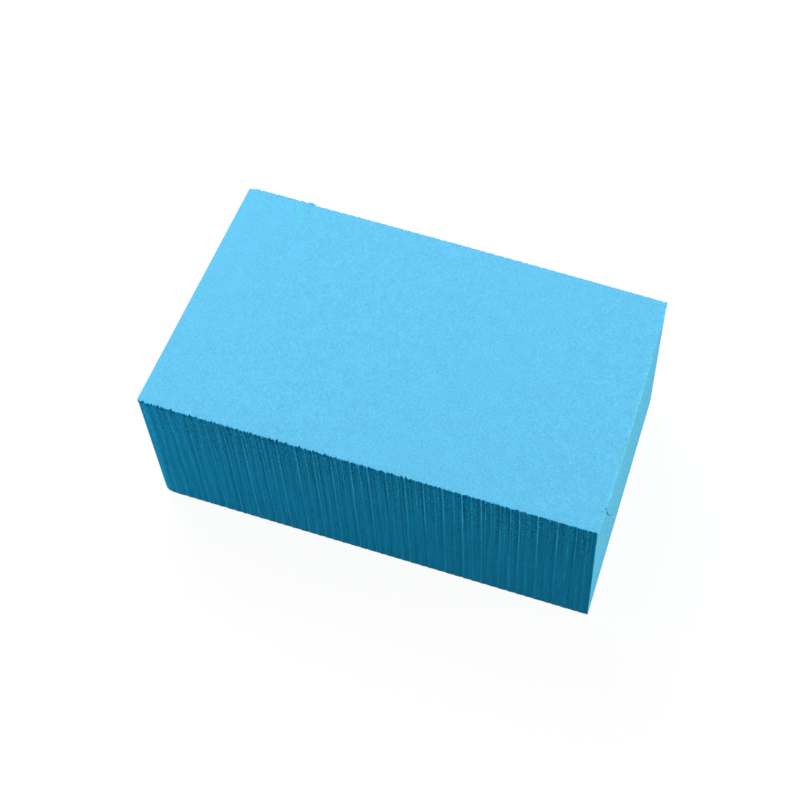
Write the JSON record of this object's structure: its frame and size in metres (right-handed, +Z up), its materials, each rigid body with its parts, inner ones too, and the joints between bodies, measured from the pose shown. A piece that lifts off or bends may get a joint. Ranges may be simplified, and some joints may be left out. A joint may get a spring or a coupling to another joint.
{
  "type": "foam block",
  "caption": "Rectangular block of light blue fine-celled foam, with saw-lined long sides and crisp edges.",
  "frame": {"origin": "under the middle of the block, on the face that it rests on", "axes": "+X along the length, +Y from the front side to the back side, +Z up through the thickness"},
  "size_m": [0.101, 0.0614, 0.0399],
  "materials": {
    "blue_foam": "matte, fine-celled, sawn on the long sides"
  },
  "bodies": {
    "root": {"foam_block": "blue_foam"}
  },
  "joints": []
}
